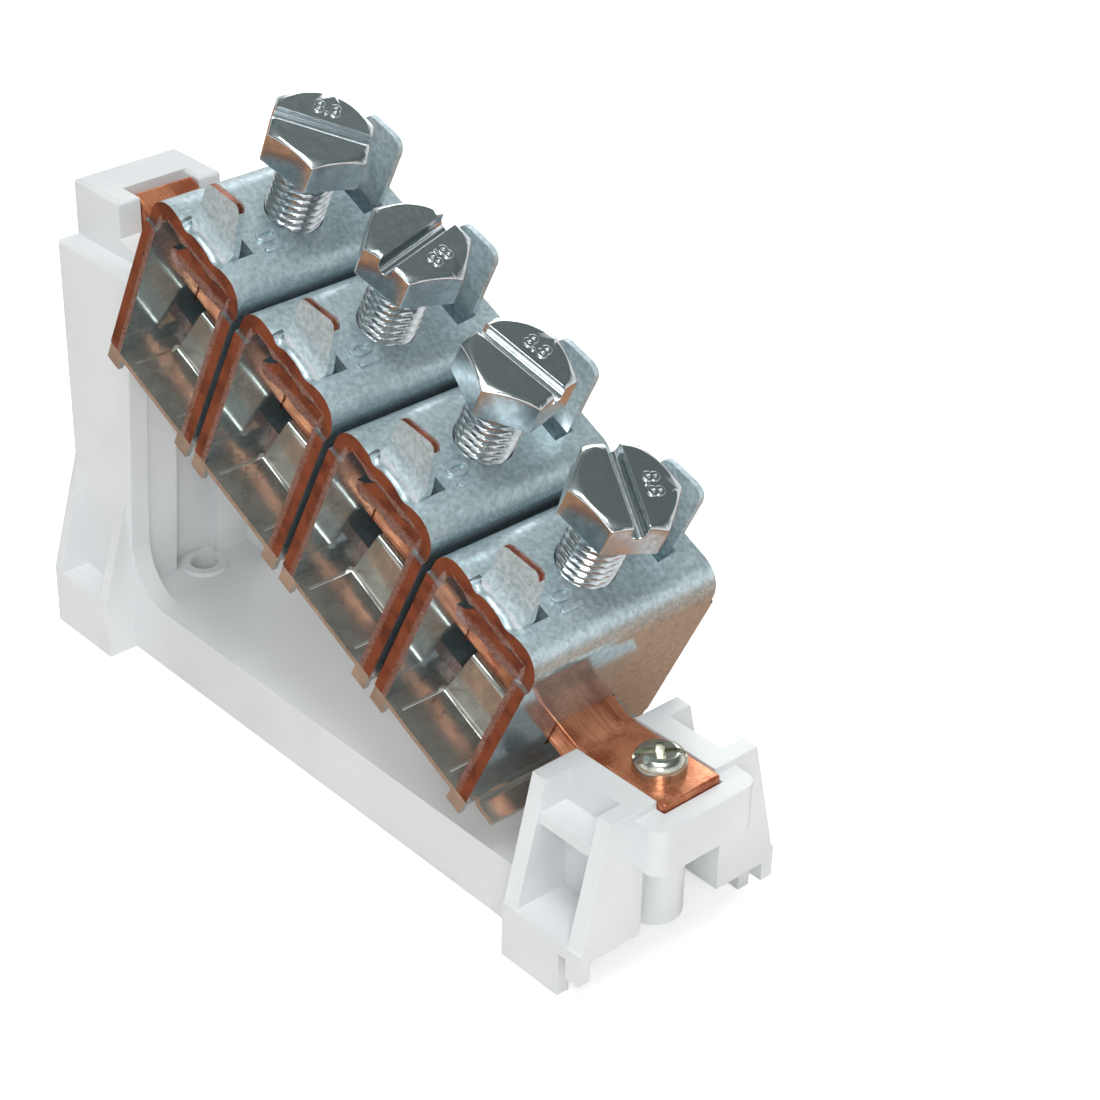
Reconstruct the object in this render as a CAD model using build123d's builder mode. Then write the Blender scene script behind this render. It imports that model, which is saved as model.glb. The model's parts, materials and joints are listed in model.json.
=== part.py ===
"""Stepped four-way main terminal block: moulded carrier, sloping copper bar and four screw clamps."""

import os
from math import cos, radians, sin, tan

from build123d import *

os.makedirs("parts", exist_ok=True)

# Frame: X runs from the tall post to the low post, Y along the wires, Z up; feet on Z = 0.
# Sizes follow the M10 clamp bolts and the 12 x 5 mm copper bar seen in the photo.

# Carrier, outer sizes
carrier_back = -73.7  # outer face of the tall post
carrier_front = 73.7  # front face of the low post's lip
base_half_width = 15.2
foot_half_width = 21.0
deck_top = 12.1
wall = 2.4
cross_rib = 2.2  # ribs under the deck
post_front_low = -56.8  # front edge of the tall post at the deck
post_front_high = -52.0  # the same edge at the shoulder: it leans out under the bar
shoulder_top = 76.2
cap_front = -60.2
cap_half_width = 10.6
bar_slot_depth = 4.5  # slot in the cap that takes the bar's upper end
cap_top = 86.6
low_post_back = 51.2
low_post_front = 68.6
low_post_half_width = 10.7
low_post_top = 32.6
rib_thick = 3.0
lip_bottom = 22.9
lip_top = 31.2
screw_hole_pitch = 100.0
rear_hole_x = -55.6
fixing_hole_radius = 2.6

# Copper bar
bar_width = 12.0
bar_thick = 5.0
bar_slope = 25.4  # degrees below the horizontal, towards the low post
bend_x = 51.1  # where the sloping top face meets the flat top face
bend_z = 32.5
bar_flat_end = 70.1
bar_high_end = -125.4  # measured along the slope from the bend
bar_gap = 0.2  # play of the bar in the carrier's seats
bar_screw_x = 62.9
bar_screw_radius = 2.45
bar_screw_length = 24.0
bar_screw_head_radius = 4.3
bar_screw_head_height = 3.4

# Clamps, measured along the bar (s), along the wire (y) and up from the bar's top face (h)
clamp_count = 4
clamp_first = -95.1
clamp_pitch = 25.9
cage_width = 24.6
cage_depth = 39.0
cage_top_depth = 37.4
sheet = 3.0
cage_top = 23.1
cage_bottom = -13.3
cage_corner = 3.8
ledge_height = 16.8  # above it the strip is a little narrower than the walls
lap_gap = 0.2  # between the two lapped layers of the cage's top
lap_end = 3.0  # where the upper layer ends, just short of the joggle
window_play = 0.3
window_drop = 1.0  # the cage hangs on the bar with this much room under it
web_half_depth = 6.5  # half the depth of the strip where it passes under the bar
front_tab_y = -13.3
front_tab_height = 8.0
rear_tab_y = 14.0
rear_tab_height = 13.8
guard_sheet = 1.0
guard_bend_y = 9.6  # where the plate bends up to the bar's underside
guard_bridge = 1.2  # left between the slits' ends and the plate's edge

# Clamp bolts
bolt_radius = 4.95
bolt_length = 25.0
head_underside = 35.7
head_across_flats = 16.0
head_height = 6.4
tapped_radius = 5.0
spigot_radius = 2.0
spigot_length = 1.9
pad_radius = 4.4
pad_thick = 2.6
pad_gap = 0.1
running_gap = 0.05
slot_angles = [45.0, -76.0, 13.0, -23.0]  # as the four heads stand in the photo

bar_s = Vector(cos(radians(bar_slope)), 0, -sin(radians(bar_slope)))
bar_n = Vector(sin(radians(bar_slope)), 0, cos(radians(bar_slope)))
bar_origin = Vector(bend_x, 0, bend_z)


def clamp_plane(s, h=0.0):
    """Plane parallel to the bar's top face at a place along the bar, h above it."""
    return Plane(origin=bar_origin + bar_s * s + bar_n * h, x_dir=bar_s, z_dir=bar_n)


def side_plane(s=0.0, y=0.0):
    """Upright plane along the bar: its x is along the bar, its y is up from it, its z is -Y."""
    return Plane(origin=bar_origin + bar_s * s + Vector(0, y, 0), x_dir=bar_s, z_dir=(0, -1, 0))


def side_view(y=0.0):
    """Upright plane in the carrier's X and Z, facing -Y."""
    return Plane(origin=(0, y, 0), x_dir=(1, 0, 0), z_dir=(0, -1, 0))


def end_view(x=0.0):
    """Upright plane in the carrier's Y and Z, facing +X."""
    return Plane(origin=(x, 0, 0), x_dir=(0, 1, 0), z_dir=(1, 0, 0))


def bar_underside(x):
    """Height of the sloping underside of the bar at a place x."""
    return bend_z + (bend_x - x) * tan(radians(bar_slope)) - bar_thick / cos(radians(bar_slope))


def make_carrier():
    """The moulded carrier: deck, tall post with its cap, low post, flared feet and bosses."""
    seat_half = bar_width / 2 + bar_gap
    with BuildPart() as carrier:
        # Deck and tall post in one side view
        with BuildSketch(side_view()):
            with BuildLine():
                Polyline(
                    (carrier_back, 0),
                    (low_post_back + rib_thick, 0),
                    (low_post_back + rib_thick, deck_top),
                    (post_front_low, deck_top),
                    (post_front_high, shoulder_top),
                    (carrier_back, shoulder_top),
                    close=True,
                )
            make_face()
        extrude(amount=base_half_width, both=True)
        # Cap and sloping seat of the bar
        with BuildSketch(side_view()):
            with BuildLine():
                Polyline(
                    (carrier_back, shoulder_top - 1),
                    (post_front_high, shoulder_top - 1),
                    (post_front_high, bar_underside(post_front_high)),
                    (cap_front, bar_underside(cap_front)),
                    (cap_front, cap_top),
                    (carrier_back, cap_top),
                    close=True,
                )
            make_face()
        extrude(amount=cap_half_width, both=True)
        # Curved strips that run the post's edges down into the deck
        for side in (-1, 1):
            with BuildSketch(side_view(side * (base_half_width - 1.85))):
                with BuildLine():
                    Line((post_front_low - 1, deck_top), (post_front_low + 9.5, deck_top))
                    RadiusArc((post_front_low + 9.5, deck_top), (post_front_low + 0.9, deck_top + 9.2), 9.4)
                    Line((post_front_low + 0.9, deck_top + 9.2), (post_front_low - 1, deck_top + 9.2))
                    Line((post_front_low - 1, deck_top + 9.2), (post_front_low - 1, deck_top))
                make_face()
            extrude(amount=1.85, both=True)
        # Slot for the bar's upper end
        with BuildSketch(side_view()):
            with BuildLine():
                Polyline(
                    (post_front_high + 1, bar_underside(post_front_high + 1)),
                    (cap_front - bar_slot_depth, bar_underside(cap_front - bar_slot_depth)),
                    (cap_front - bar_slot_depth, cap_top + 1),
                    (post_front_high + 1, cap_top + 1),
                    close=True,
                )
            make_face()
        extrude(amount=seat_half, both=True, mode=Mode.SUBTRACT)
        # Shallow panels and the screwdriver channel in the tall post's front face
        with BuildSketch(side_view()):
            with BuildLine():
                Polyline(
                    (post_front_low - 1.2, deck_top),
                    (post_front_high - 1.2, shoulder_top - 6),
                    (post_front_high + 3, shoulder_top - 6),
                    (post_front_high + 3, deck_top),
                    close=True,
                )
            make_face()
        extrude(amount=base_half_width - 3.7, both=True, mode=Mode.SUBTRACT)
        with BuildSketch(Plane.XY.offset(deck_top)):
            with Locations((rear_hole_x, 0)):
                Rectangle(10.4, 9.2)
        extrude(amount=shoulder_top - 8 - deck_top, mode=Mode.SUBTRACT)
        # Hollow of the tall post, cored from below
        with BuildSketch(Plane.XY):
            with Locations(((carrier_back + wall + rear_hole_x - 5.2 - wall) / 2, 0)):
                Rectangle(rear_hole_x - 5.2 - wall - carrier_back - wall, 2 * (base_half_width - wall))
        extrude(amount=shoulder_top - wall, mode=Mode.SUBTRACT)
        # Hollow of the deck, cored from below, with cross ribs left standing
        bay_count = 4
        bay_start = rear_hole_x + 7
        bay = (low_post_back - bay_start - (bay_count - 1) * cross_rib) / bay_count
        with BuildSketch(Plane.XY):
            for n in range(bay_count):
                with Locations((bay_start + bay / 2 + n * (bay + cross_rib), 0)):
                    Rectangle(bay, 2 * (base_half_width - wall))
        extrude(amount=deck_top - wall, mode=Mode.SUBTRACT)
        # Feet of the tall post: a block and two gussets on each side
        for side in (-1, 1):
            with BuildSketch(end_view(carrier_back)):
                with BuildLine():
                    Polyline(
                        (side * (base_half_width - 1), 0),
                        (side * foot_half_width, 0),
                        (side * foot_half_width, 11.7),
                        (side * base_half_width, 32.2),
                        (side * (base_half_width - 1), 32.2),
                        close=True,
                    )
                make_face()
            extrude(amount=post_front_low - carrier_back)
            with BuildSketch(Plane.XY.offset(11.2)):
                with Locations(((carrier_back + post_front_low) / 2, side * (base_half_width + 5))):
                    Rectangle(post_front_low - carrier_back - 2 * 2.3, 10)
            extrude(amount=30, mode=Mode.SUBTRACT)
            with BuildSketch(Plane.XY):
                with Locations(((carrier_back + post_front_low) / 2, side * (foot_half_width - wall - 2))):
                    Rectangle(post_front_low - carrier_back - 2 * wall, 4)
            extrude(amount=11.2 - wall, mode=Mode.SUBTRACT)
        # Low post: body with the bar's seat and the lip that closes its end
        with BuildSketch(Plane.XY.offset(lip_bottom)):
            with Locations(((low_post_back + low_post_front) / 2, 0)):
                Rectangle(low_post_front - low_post_back, 2 * low_post_half_width)
        extrude(amount=low_post_top - lip_bottom)
        with BuildSketch(Plane.XY.offset(lip_bottom)):
            with BuildLine():
                FilletPolyline(
                    (low_post_front - 1, -low_post_half_width),
                    (carrier_front, -low_post_half_width),
                    (carrier_front, low_post_half_width),
                    (low_post_front - 1, low_post_half_width),
                    radius=2.6,
                )
                Line((low_post_front - 1, low_post_half_width), (low_post_front - 1, -low_post_half_width))
            make_face()
        extrude(amount=lip_top - lip_bottom)
        # Walls of the low post down to its feet
        with BuildSketch(Plane.XY):
            with Locations((low_post_back + rib_thick / 2, 0)):
                Rectangle(rib_thick, 2 * low_post_half_width)
        extrude(amount=lip_bottom + 1)
        for side in (-1, 1):
            with BuildSketch(Plane.XY.offset(8.3)):
                with Locations(((low_post_back + low_post_front) / 2, side * (low_post_half_width - wall / 2))):
                    Rectangle(low_post_front - low_post_back, wall)
            extrude(amount=lip_bottom + 1 - 8.3)
            # Flared ribs
            for x, foot in ((low_post_back, 0.0), (low_post_front - rib_thick, 4.7)):
                with BuildSketch(end_view(x)):
                    with BuildLine():
                        Polyline(
                            (side * (low_post_half_width - 1), 8.3),
                            (side * (foot_half_width - wall), 8.3),
                            (side * (foot_half_width - wall), foot),
                            (side * foot_half_width, foot),
                            (side * foot_half_width, 8.8),
                            (side * 15.3, low_post_top),
                            (side * (low_post_half_width - 1), low_post_top),
                            close=True,
                        )
                    make_face()
                extrude(amount=rib_thick)
            # Foot floor, skirt and the shelf between the ribs
            with BuildSketch(Plane.XY.offset(8.3)):
                with Locations(
                    ((low_post_back + low_post_front) / 2, side * (low_post_half_width + foot_half_width) / 2)
                ):
                    Rectangle(low_post_front - low_post_back, foot_half_width - low_post_half_width)
            extrude(amount=2.3)
            with BuildSketch(Plane.XY):
                with Locations((low_post_back + 6.4, side * (foot_half_width - wall / 2))):
                    Rectangle(12.8, wall)
            extrude(amount=8.8)
            with BuildSketch(Plane.XY.offset(25.0)):
                with Locations(((low_post_back + low_post_front) / 2, side * (low_post_half_width + 2.8))):
                    Rectangle(low_post_front - low_post_back - rib_thick, 5.6)
            extrude(amount=2.0)
        # Seat of the bar's flat end
        with BuildSketch(side_view()):
            with BuildLine():
                Polyline(
                    (low_post_back - 1, bend_z - bar_thick),
                    (bar_flat_end + bar_gap, bend_z - bar_thick),
                    (bar_flat_end + bar_gap, low_post_top + 1),
                    (low_post_back - 1, low_post_top + 1),
                    close=True,
                )
            make_face()
        extrude(amount=seat_half, both=True, mode=Mode.SUBTRACT)
        with BuildSketch(side_view()):
            with BuildLine():
                Polyline(
                    (low_post_back - 1, bar_underside(low_post_back - 1) - 0.1),
                    (low_post_back + 4, bar_underside(low_post_back + 4) - 0.1),
                    (low_post_back + 4, low_post_top + 1),
                    (low_post_back - 1, low_post_top + 1),
                    close=True,
                )
            make_face()
        extrude(amount=seat_half, both=True, mode=Mode.SUBTRACT)
        # Boss for the bar's screw, and bosses for the two fixing screws
        with BuildSketch(Plane.XY.offset(6.0)):
            with Locations((bar_screw_x, 0)):
                Circle(4.8)
        extrude(amount=lip_bottom + 1 - 6.0)
        with BuildSketch(Plane.XY):
            with Locations((rear_hole_x, 0), (rear_hole_x + screw_hole_pitch, 0)):
                Circle(4.3)
        extrude(amount=deck_top + 0.8)
        with Locations((rear_hole_x, 0, 0), (rear_hole_x + screw_hole_pitch, 0, 0)):
            Hole(radius=fixing_hole_radius, depth=60)
        with BuildSketch(Plane.XY.offset(bend_z - bar_thick)):
            with Locations((bar_screw_x, 0)):
                Circle(bar_screw_radius + running_gap)
        extrude(amount=-(bar_screw_length - bar_thick + 1.0), mode=Mode.SUBTRACT)
        # Moulded edges
        cap_edges = carrier.edges().filter_by_position(Axis.Z, cap_top - 0.01, cap_top + 0.01)
        fillet(cap_edges.filter_by(lambda e: abs(e.center().X - (cap_front - bar_slot_depth)) > 0.6), radius=0.8)
        fillet(carrier.edges().filter_by(Axis.Z).filter_by_position(Axis.X, carrier_back - 0.01, carrier_back + 0.01)
               .filter_by(lambda e: e.length > 20), radius=1.0)
    return carrier


def make_busbar():
    """Copper flat bar: straight along the clamps, bent flat at the low post, one screw hole."""
    end = bar_origin + bar_s * bar_high_end
    with BuildPart() as busbar:
        with BuildSketch(side_view()):
            with BuildLine():
                FilletPolyline((end.X, end.Z), (bend_x, bend_z), (bar_flat_end, bend_z), radius=7.0)
                offset(amount=bar_thick, side=Side.RIGHT)
            make_face()
        extrude(amount=bar_width / 2, both=True)
        with Locations((bar_screw_x, 0, 0)):
            Hole(radius=bar_screw_radius + 0.3, depth=60)
    return busbar


def make_busbar_screw():
    """Pan-head screw with a slot and a cross recess, through the bar into the carrier's boss."""
    with BuildPart() as screw:
        with BuildSketch(side_view()):
            with BuildLine():
                Polyline(
                    (0, bend_z + bar_screw_head_height),
                    (1.6, bend_z + bar_screw_head_height),
                    (3.1, bend_z + bar_screw_head_height - 0.6),
                    (4.0, bend_z + bar_screw_head_height - 1.5),
                    (bar_screw_head_radius, bend_z + 1.0),
                    (bar_screw_head_radius, bend_z),
                    (bar_screw_radius, bend_z),
                    (bar_screw_radius, bend_z - bar_screw_length + 2),
                    (1.2, bend_z - bar_screw_length),
                    (0, bend_z - bar_screw_length),
                    close=True,
                )
            make_face()
        revolve(axis=Axis.Z)
        with BuildSketch(Plane.XY.offset(bend_z + bar_screw_head_height)):
            Rectangle(1.2, 10, rotation=-40)
        extrude(amount=-1.5, mode=Mode.SUBTRACT)
        with BuildSketch(Plane.XY.offset(bend_z + bar_screw_head_height)):
            Rectangle(4.4, 1.3, rotation=-40)
        extrude(amount=-2.0, mode=Mode.SUBTRACT)
    screw.part.locate(Location((bar_screw_x, 0, 0)))
    return screw


def make_cage(number):
    """One clamp cage: a steel strip bent into a ring, its ends lapped and tapped at the top."""
    s0 = clamp_first + clamp_pitch * number
    half = cage_width / 2
    lap_top = cage_top - sheet - lap_gap
    with BuildPart() as cage:
        # Left wall and the upper layer of the top
        with BuildSketch(side_plane(s0)):
            with BuildLine():
                FilletPolyline((-half, cage_bottom), (-half, cage_top), (lap_end, cage_top), radius=cage_corner)
                offset(amount=sheet, side=Side.RIGHT)
            make_face()
        extrude(amount=cage_depth / 2, both=True)
        # The upper layer's end is pressed down into the joggle of the lower one
        with BuildSketch(side_plane(s0)):
            with BuildLine():
                Polyline(
                    (lap_end - 0.5, lap_top + lap_gap),
                    (lap_end + 0.2, lap_top + lap_gap + 0.05),
                    (lap_end + 1.6, lap_top + 0.85),
                    (lap_end + 2.35, lap_top + 1.8),
                    (lap_end + 2.8, lap_top + 2.5),
                    (lap_end + 1.4, cage_top - 0.25),
                    (lap_end - 0.5, cage_top),
                    close=True,
                )
            make_face()
        extrude(amount=cage_depth / 2, both=True)
        # Right wall, joggled under the upper layer
        with BuildSketch(side_plane(s0)):
            with BuildLine():
                FilletPolyline(
                    (half, cage_bottom),
                    (half, cage_top + 0.2),
                    (7.2, cage_top + 0.2),
                    (4.5, lap_top),
                    (-half + sheet + 0.5, lap_top),
                    radius=3.4,
                )
                offset(amount=sheet, side=Side.LEFT)
            make_face()
        extrude(amount=cage_depth / 2, both=True)
        # The strip passes under the bar as a narrow web
        with BuildSketch(clamp_plane(s0, cage_bottom)):
            Rectangle(cage_width, 2 * web_half_depth)
        extrude(amount=sheet)
        # Above the ledge the strip is narrower
        with BuildSketch(clamp_plane(s0, ledge_height)):
            with Locations((0, -(cage_top_depth + 4) / 2), (0, (cage_top_depth + 4) / 2)):
                Rectangle(cage_width + 2, 4)
        extrude(amount=12, mode=Mode.SUBTRACT)
        # Windows for the bar in both walls
        with BuildSketch(clamp_plane(s0)):
            Rectangle(cage_width + 2, bar_width + 2 * window_play)
        extrude(amount=-(bar_thick + window_drop), mode=Mode.SUBTRACT)
        # Slanted corners of the lower layer's free end
        with BuildSketch(clamp_plane(s0, lap_top + lap_gap / 2)):
            for side in (-1, 1):
                with BuildLine():
                    Polyline(
                        (-half + sheet + 0.2, side * 20),
                        (-4.4, side * 20),
                        (-4.4, side * 17.5),
                        (-half + sheet + 0.2, side * 12.5),
                        close=True,
                    )
                make_face()
        extrude(amount=-(sheet + lap_gap), mode=Mode.SUBTRACT)
        # Slots left in the upper layer by the two lanced tabs
        with BuildSketch(clamp_plane(s0, lap_top + lap_gap / 2)):
            with BuildLine():
                Polyline(
                    (-4.6, front_tab_y - 0.3),
                    (6.2, front_tab_y - 0.3),
                    (5.0, front_tab_y + 4.6),
                    (-3.6, front_tab_y + 4.6),
                    close=True,
                )
            make_face()
            with Locations((-1.3, rear_tab_y - 2.1)):
                Rectangle(8.6, 3.4)
        extrude(amount=sheet + lap_gap, mode=Mode.SUBTRACT)
        # Front tab, a low trapezium
        with BuildSketch(side_plane(s0, front_tab_y)):
            with BuildLine():
                Polyline(
                    (-4.6, lap_top + lap_gap + 0.4),
                    (2.8, lap_top + lap_gap + 0.4),
                    (5.2, cage_top - 0.8),
                    (5.2, cage_top + 0.4),
                    (3.2, cage_top + front_tab_height),
                    (-3.6, cage_top + front_tab_height),
                    (-4.6, cage_top),
                    close=True,
                )
            tab = make_face()
            fillet(tab.vertices().sort_by(Axis.Z)[-2:], radius=0.8)
        extrude(amount=2.7)
        # Rear tab, taller and round-shouldered
        with BuildSketch(side_plane(s0, rear_tab_y + 2.0)):
            with Locations((-1.0, (lap_top + lap_gap + 0.4 + cage_top + rear_tab_height) / 2)):
                tab = Rectangle(8.0, cage_top + rear_tab_height - lap_top - lap_gap - 0.4)
            fillet(tab.vertices().sort_by(Axis.Z)[-2:], radius=2.4)
        extrude(amount=2.0)
        # Tapped hole through both layers
        with BuildSketch(clamp_plane(s0, cage_top + 1)):
            Circle(tapped_radius)
        extrude(amount=-9, mode=Mode.SUBTRACT)
    return cage


def make_guard(number):
    """Thin plate under a cage: it closes the room below the bar so no wire is pushed in there."""
    s0 = clamp_first + clamp_pitch * number
    half = cage_width / 2
    hat = 6.3
    with BuildPart() as guard:
        # Flat plate under the walls
        with BuildSketch(clamp_plane(s0, cage_bottom)):
            RectangleRounded(cage_width, cage_depth, 0.8)
        extrude(amount=-guard_sheet)
        # Opening under the hat, with round reliefs at the ends of the bends
        with BuildSketch(clamp_plane(s0, cage_bottom)):
            Rectangle(2 * hat + 0.8, 2 * (guard_bend_y - 0.4))
            with GridLocations(2 * hat, 2 * guard_bend_y, 2, 2):
                RegularPolygon(0.95, 8)
            slit = cage_depth / 2 - guard_bridge - guard_bend_y
            with GridLocations(2 * hat + 0.2, 2 * guard_bend_y + slit, 2, 2):
                Rectangle(0.6, slit)
        extrude(amount=-guard_sheet, mode=Mode.SUBTRACT)
        # The hat that rises to the bar's underside
        with BuildSketch(Plane(origin=clamp_plane(s0).origin, x_dir=(0, 1, 0), z_dir=bar_s)):
            with BuildLine():
                FilletPolyline(
                    (-guard_bend_y - 1.4, cage_bottom),
                    (-guard_bend_y, cage_bottom),
                    (-guard_bend_y + 2.7, -bar_thick),
                    (guard_bend_y - 2.7, -bar_thick),
                    (guard_bend_y, cage_bottom),
                    (guard_bend_y + 1.4, cage_bottom),
                    radius=1.2,
                )
                offset(amount=guard_sheet, side=Side.RIGHT)
            make_face()
        extrude(amount=hat - 0.2, both=True)
        # Joggled flap that reaches under the next clamp's plate
        with BuildSketch(side_plane(s0)):
            with BuildLine():
                FilletPolyline(
                    (half - 1.5, cage_bottom),
                    (half + 0.3, cage_bottom),
                    (half + 0.9, cage_bottom - guard_sheet - 0.1),
                    (half + 4.5, cage_bottom - guard_sheet - 0.1),
                    radius=0.3,
                )
                offset(amount=guard_sheet, side=Side.RIGHT)
            make_face()
        extrude(amount=17.0, both=True)
        # Lugs bent down in front of and behind each leg
        with BuildSketch(clamp_plane(s0, cage_bottom - 0.2)):
            for side in (-1, 1):
                with Locations((-half + 1.9, side * (cage_depth / 2 - 0.5)), (half - 1.9, side * (cage_depth / 2 - 0.5))):
                    Rectangle(3.4, 1.0)
        extrude(amount=-3.3)
    return guard


def make_clamp_bolt(number):
    """Hexagon clamp bolt with a slot across the head and a spigot that carries the pressure pad."""
    s0 = clamp_first + clamp_pitch * number
    angle = slot_angles[number % 4]
    tip = head_underside - bolt_length
    with BuildPart() as bolt:
        with BuildSketch(clamp_plane(s0, head_underside)):
            RegularPolygon(head_across_flats / 2, 6, major_radius=False, rotation=angle + 30)
        extrude(amount=head_height)
        # Turned chamfer of the head
        with BuildSketch(Plane(origin=clamp_plane(s0).origin, x_dir=bar_s, z_dir=(0, -1, 0))):
            with BuildLine():
                Polyline(
                    (0, head_underside),
                    (11, head_underside),
                    (11, head_underside + head_height - 1.9),
                    (7.4, head_underside + head_height),
                    (0, head_underside + head_height),
                    close=True,
                )
            make_face()
        revolve(axis=Axis(clamp_plane(s0).origin, bar_n), mode=Mode.INTERSECT)
        # Shank and spigot
        with BuildSketch(clamp_plane(s0, head_underside)):
            Circle(bolt_radius)
        extrude(amount=-bolt_length)
        shank_end = bolt.edges().filter_by(GeomType.CIRCLE)
        chamfer(shank_end.sort_by(lambda e: (e.arc_center - bar_origin).dot(bar_n))[0], length=0.8)
        with BuildSketch(clamp_plane(s0, tip)):
            Circle(spigot_radius)
        extrude(amount=-spigot_length)
        # Slot across the head
        with BuildSketch(clamp_plane(s0, head_underside + head_height)):
            Rectangle(2 * head_across_flats, 2.1, rotation=angle)
        extrude(amount=-2.6, mode=Mode.SUBTRACT)
    return bolt


def make_pressure_pad(number):
    """Swivelling pad on the bolt's spigot: it presses the wire without turning on it."""
    s0 = clamp_first + clamp_pitch * number
    top = head_underside - bolt_length - pad_gap
    with BuildPart() as pad:
        with BuildSketch(clamp_plane(s0, top)):
            Circle(pad_radius)
        extrude(amount=-pad_thick)
        with BuildSketch(clamp_plane(s0, top)):
            Circle(spigot_radius + running_gap)
        extrude(amount=-(spigot_length + 0.1), mode=Mode.SUBTRACT)
    return pad


def keep(solid, name):
    """Label a finished piece and write its STEP file."""
    solid.part.label = name
    export_step(solid.part, f"parts/{name}.step")


keep(make_carrier(), "carrier")
keep(make_busbar(), "busbar")
keep(make_busbar_screw(), "busbar_screw")
for number in range(clamp_count):
    keep(make_cage(number), f"cage_{number + 1}")
    keep(make_guard(number), f"guard_plate_{number + 1}")
    keep(make_clamp_bolt(number), f"clamp_bolt_{number + 1}")
    keep(make_pressure_pad(number), f"pressure_pad_{number + 1}")
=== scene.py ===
"""Terminal block: screw clamps hung on a sloping copper bar in a moulded carrier.

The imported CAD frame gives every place. This script dresses it: sheared and bent strip cages, rolled
threads, drawn copper, moulded plastic, then a studio floor, lamps and the camera.
Pieces are modelled in millimetres in a clamp's own frame and then set down in the row's frame.
"""

import json
import logging
import math
from collections.abc import Callable, Iterator, Sequence
from contextlib import contextmanager
from dataclasses import dataclass
from enum import Enum

import bmesh
import bpy
from mathutils import Matrix, Vector

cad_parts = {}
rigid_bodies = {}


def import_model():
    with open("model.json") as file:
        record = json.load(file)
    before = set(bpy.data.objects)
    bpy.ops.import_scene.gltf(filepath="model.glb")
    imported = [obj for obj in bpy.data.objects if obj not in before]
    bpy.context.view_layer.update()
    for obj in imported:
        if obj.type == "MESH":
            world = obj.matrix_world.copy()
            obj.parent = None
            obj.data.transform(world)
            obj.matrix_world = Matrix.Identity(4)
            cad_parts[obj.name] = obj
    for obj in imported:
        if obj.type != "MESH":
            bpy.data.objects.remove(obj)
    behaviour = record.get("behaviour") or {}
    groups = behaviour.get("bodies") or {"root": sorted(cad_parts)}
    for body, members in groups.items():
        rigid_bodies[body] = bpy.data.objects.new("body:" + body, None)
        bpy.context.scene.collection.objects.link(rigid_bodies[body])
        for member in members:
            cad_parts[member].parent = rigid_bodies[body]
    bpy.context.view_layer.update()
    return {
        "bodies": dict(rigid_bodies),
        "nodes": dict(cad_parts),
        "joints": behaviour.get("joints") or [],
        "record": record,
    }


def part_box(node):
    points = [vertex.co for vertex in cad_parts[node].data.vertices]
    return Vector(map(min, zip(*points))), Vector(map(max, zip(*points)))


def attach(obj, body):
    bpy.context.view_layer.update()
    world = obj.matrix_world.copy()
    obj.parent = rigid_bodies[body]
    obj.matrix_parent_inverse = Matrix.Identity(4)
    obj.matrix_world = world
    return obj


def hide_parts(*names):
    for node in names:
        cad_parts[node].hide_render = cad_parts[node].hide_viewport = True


log = logging.getLogger("terminal_block")

MM = 0.001
MERGE_MM = 0.004  # points closer than this are one
BOLD_MM, ROUNDING_MM = 0.03, 0.1  # how embossed figures' strokes swell and are rounded
PHOTO_PIXELS = 1100
BEVEL_ANGLE = math.radians(38)
SMOOTH_ANGLE = math.radians(34)
THREAD_ANGLE = math.radians(40)  # a thread's flanks are smooth, its crests and roots aren't
NORMAL_WEIGHT = 90  # how much the large faces outweigh small ones where they share a normal
TAB_DULLNESS = 1.5  # the tabs, rubbed on both faces, against 1 for the flat top
FACING = 0.97  # least cosine to an axis of a face that counts as square to it
PIVOT_HEIGHT = 9.3  # mm above the bar's top face, where a bolt's joint is placed
SLOT_ANGLES = (45.0, -76.0, 13.0, -23.0)  # as the four heads stand in the photo
BLOCK = "block"


class Slot(Enum):
    """Material slots of the record."""

    CARRIER = "carrier_plastic"
    COPPER = "copper"
    SCREW = "zinc_steel"
    BOLT = "bolt_steel"
    CAGE = "cage_steel"
    GUARD = "guard_steel"


class Run(Enum):
    """Axis that a prism runs along."""

    ALONG = 0
    ACROSS = 1
    UP = 2


Test = Callable[[Vector, Vector], bool]
Outline = Sequence[tuple[float, float]]
Links = dict[str | int, bpy.types.NodeSocket]


# Selection and edit-mode helpers


def activate(piece: bpy.types.Object) -> None:
    """Make a piece the only selected and active object."""
    bpy.ops.object.select_all(action="DESELECT")
    piece.select_set(True)
    bpy.context.view_layer.objects.active = piece


@contextmanager
def editing(piece: bpy.types.Object) -> Iterator[bpy.types.Object]:
    """Hold a piece in edit mode for the length of a with block.

    Args:
        piece: the mesh object to edit.
    """
    activate(piece)
    bpy.ops.object.mode_set(mode="EDIT")
    bpy.ops.mesh.select_mode(type="FACE")
    try:
        yield piece
    finally:
        bpy.ops.object.mode_set(mode="OBJECT")


def pick_faces(piece: bpy.types.Object, test: Test) -> None:
    """Select, in edit mode, the faces that pass a test.

    Args:
        piece: the object in edit mode.
        test: given a face's centre and normal, says whether to pick it.
    """
    mesh = bmesh.from_edit_mesh(piece.data)
    for face in mesh.faces:
        face.select_set(bool(test(face.calc_center_median(), face.normal)))
    mesh.select_flush_mode()
    bmesh.update_edit_mesh(piece.data)


def pick_edges(piece: bpy.types.Object, test: Test) -> None:
    """Select, in edit mode, the edges that pass a test.

    Args:
        piece: the object in edit mode.
        test: given an edge's two ends, says whether to pick it.
    """
    bpy.ops.mesh.select_mode(type="EDGE")
    bpy.ops.mesh.select_all(action="DESELECT")
    mesh = bmesh.from_edit_mesh(piece.data)
    for edge in mesh.edges:
        if test(edge.verts[0].co, edge.verts[1].co):
            edge.select_set(True)
    bmesh.update_edit_mesh(piece.data)


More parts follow.
